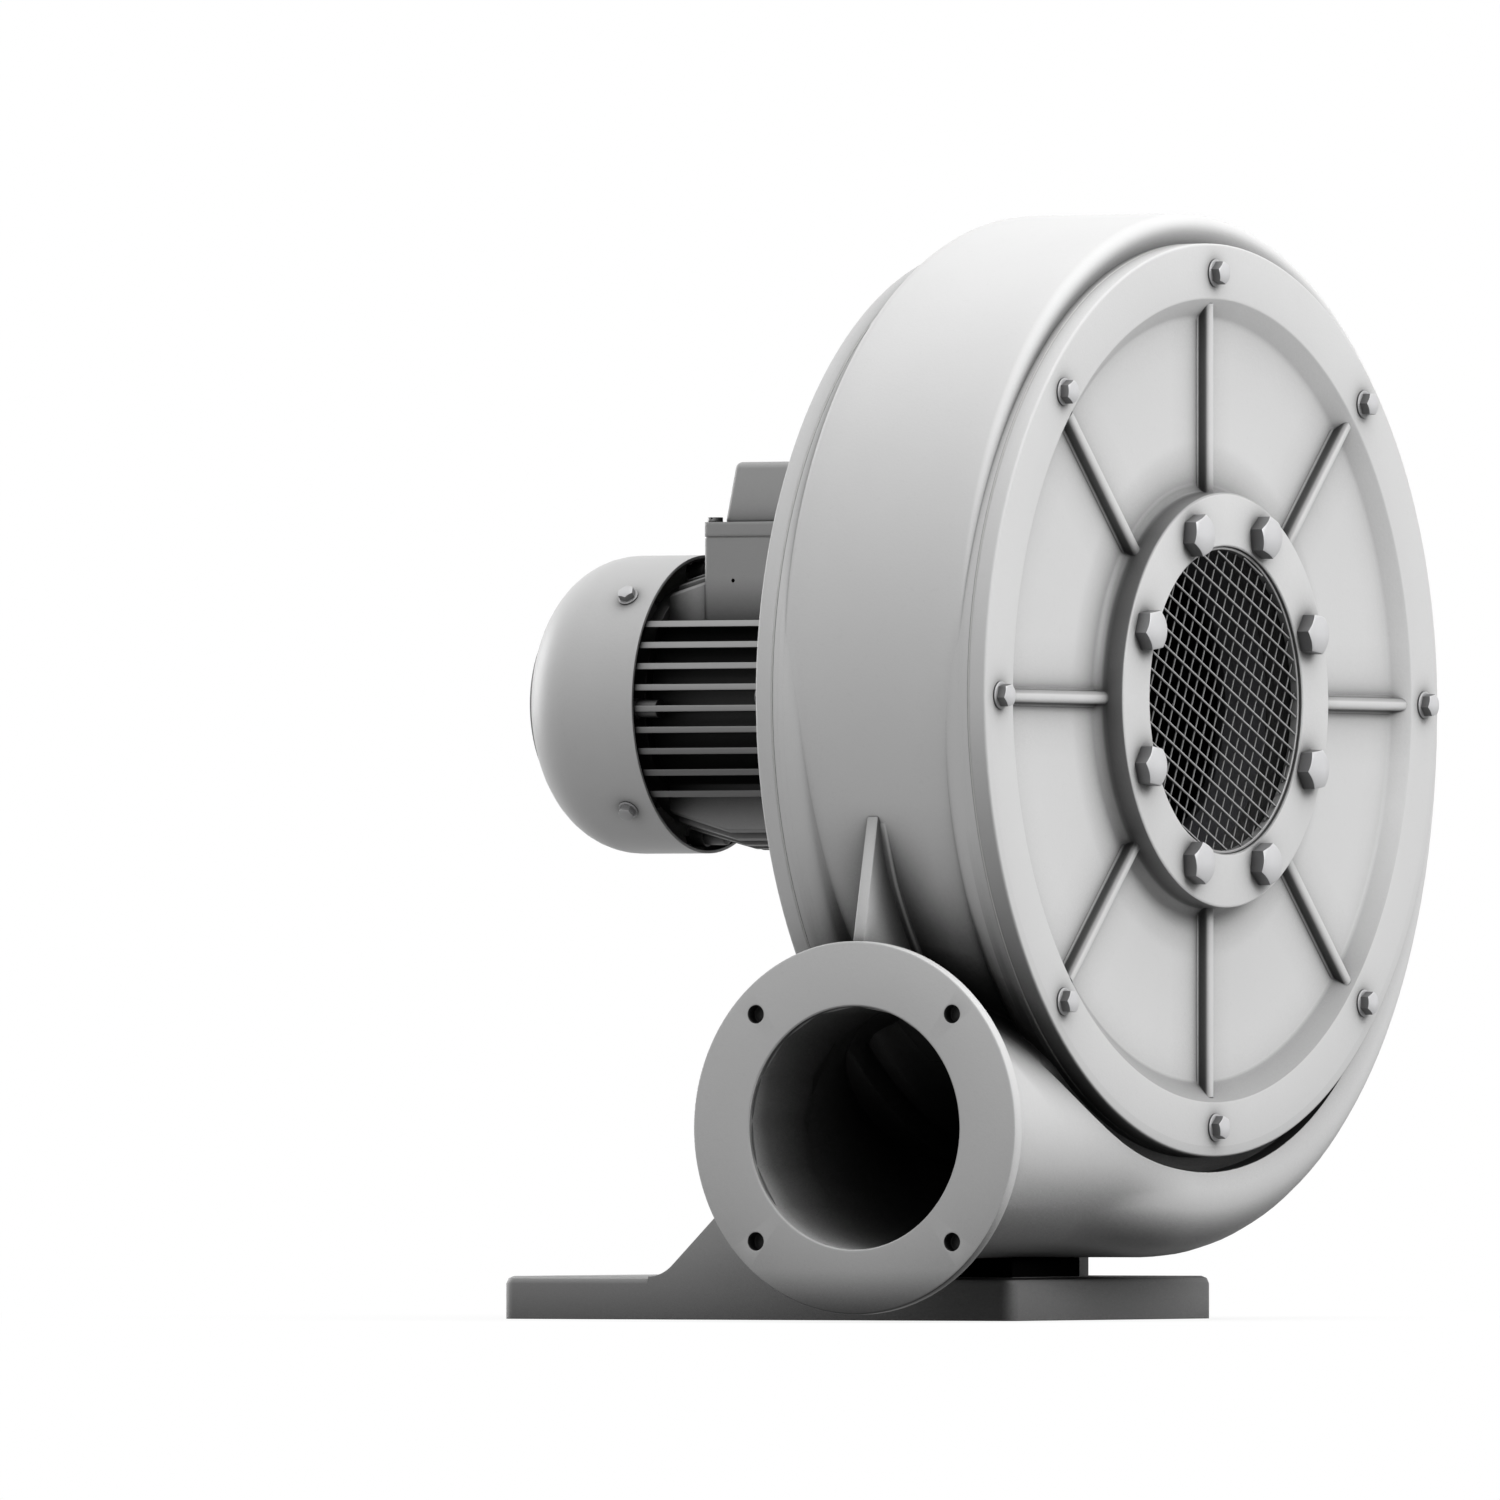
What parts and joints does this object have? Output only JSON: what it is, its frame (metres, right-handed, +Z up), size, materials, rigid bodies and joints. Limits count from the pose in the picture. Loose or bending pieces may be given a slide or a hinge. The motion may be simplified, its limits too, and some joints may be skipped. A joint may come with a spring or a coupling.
{
  "type": "centrifugal blower",
  "caption": "Direct-driven centrifugal blower: scroll casing with guarded side inlet and round flanged outlet, flange motor and cast foot.",
  "frame": {"origin": "centre of the foot's four mounting holes, on the floor", "axes": "+X along the shaft towards the inlet, +Y across the shaft away from the outlet, +Z up"},
  "size_m": [0.5103, 0.6482, 0.7203],
  "materials": {
    "casing_paint": "light grey satin paint on cast aluminium",
    "foot_paint": "light grey satin paint on cast aluminium",
    "motor_paint": "grey satin paint on cast aluminium",
    "cowl_paint": "light grey satin paint on sheet steel",
    "gasket": "matt",
    "seal_rubber": "matt",
    "bolt_steel": "zinc plated, painted over",
    "lid_screw_steel": "blackened",
    "guard_wire": "galvanised wire",
    "duct_steel": "grey satin paint on sheet steel",
    "core_steel": "stacked sheet, lacquered",
    "copper_winding": "varnished copper wire",
    "cast_aluminium": "as cast",
    "impeller_sheet": "rolled sheet, satin",
    "board_plastic": "moulded",
    "brass": "machined",
    "gland_plastic": "moulded",
    "fan_plastic": "moulded",
    "bearing_steel": "ground",
    "shaft_steel": "ground"
  },
  "bodies": {
    "casing": {"volute_casing": "casing_paint", "front_cover": "casing_paint", "front_cover_gasket": "gasket", "front_cover_bolts": "bolt_steel", "inlet_guard": "guard_wire", "inlet_guard_ring": "guard_wire", "inlet_bolts": "bolt_steel", "inlet_nozzle": "duct_steel", "nozzle_screws": "bolt_steel", "rear_cover": "casing_paint", "rear_cover_gasket": "gasket", "rear_cover_bolts": "bolt_steel", "shaft_seal": "seal_rubber", "seal_retainer": "duct_steel", "seal_screws": "bolt_steel", "foot": "foot_paint", "foot_bracket_bolts": "bolt_steel", "motor_flange": "motor_paint", "motor_flange_bolts": "bolt_steel", "motor_housing": "motor_paint", "stator_core": "core_steel", "stator_windings": "copper_winding", "rear_end_shield": "motor_paint", "end_shield_screws": "bolt_steel", "fan_cowl": "cowl_paint", "fan_cowl_bolts": "bolt_steel", "terminal_box": "motor_paint", "terminal_box_gasket": "gasket", "terminal_box_lid": "motor_paint", "lid_screws": "lid_screw_steel", "terminal_board": "board_plastic", "terminal_studs": "brass", "earth_screw": "brass", "cable_gland": "gland_plastic", "gland_nut": "gland_plastic", "bearing_outer_rings": "bearing_steel"},
    "rotor": {"shaft": "shaft_steel", "rotor_core": "core_steel", "rotor_end_rings": "cast_aluminium", "bearing_inner_rings": "bearing_steel", "cooling_fan": "fan_plastic", "fan_clip": "bolt_steel", "impeller_hub": "cast_aluminium", "impeller_back_disc": "impeller_sheet", "impeller_blades": "impeller_sheet", "impeller_shroud": "impeller_sheet", "impeller_rivets": "cast_aluminium", "impeller_key": "shaft_steel", "impeller_washer": "bolt_steel", "impeller_bolt": "bolt_steel"},
    "bearing_cage_set": {"bearing_balls": "bearing_steel", "bearing_cages": "brass"}
  },
  "joints": [
    {"name": "rotor_spin", "type": "hinge", "parent": "casing", "child": "rotor", "pos_m": [0, 0, 0.403], "axis": [1, 0, 0], "continuous": true},
    {"name": "cage_spin", "type": "hinge", "parent": "casing", "child": "bearing_cage_set", "pos_m": [0, 0, 0.403], "axis": [1, 0, 0], "continuous": true}
  ],
  "couplings": [
    {"joint": "cage_spin", "follows": "rotor_spin", "ratio": 0.4}
  ]
}
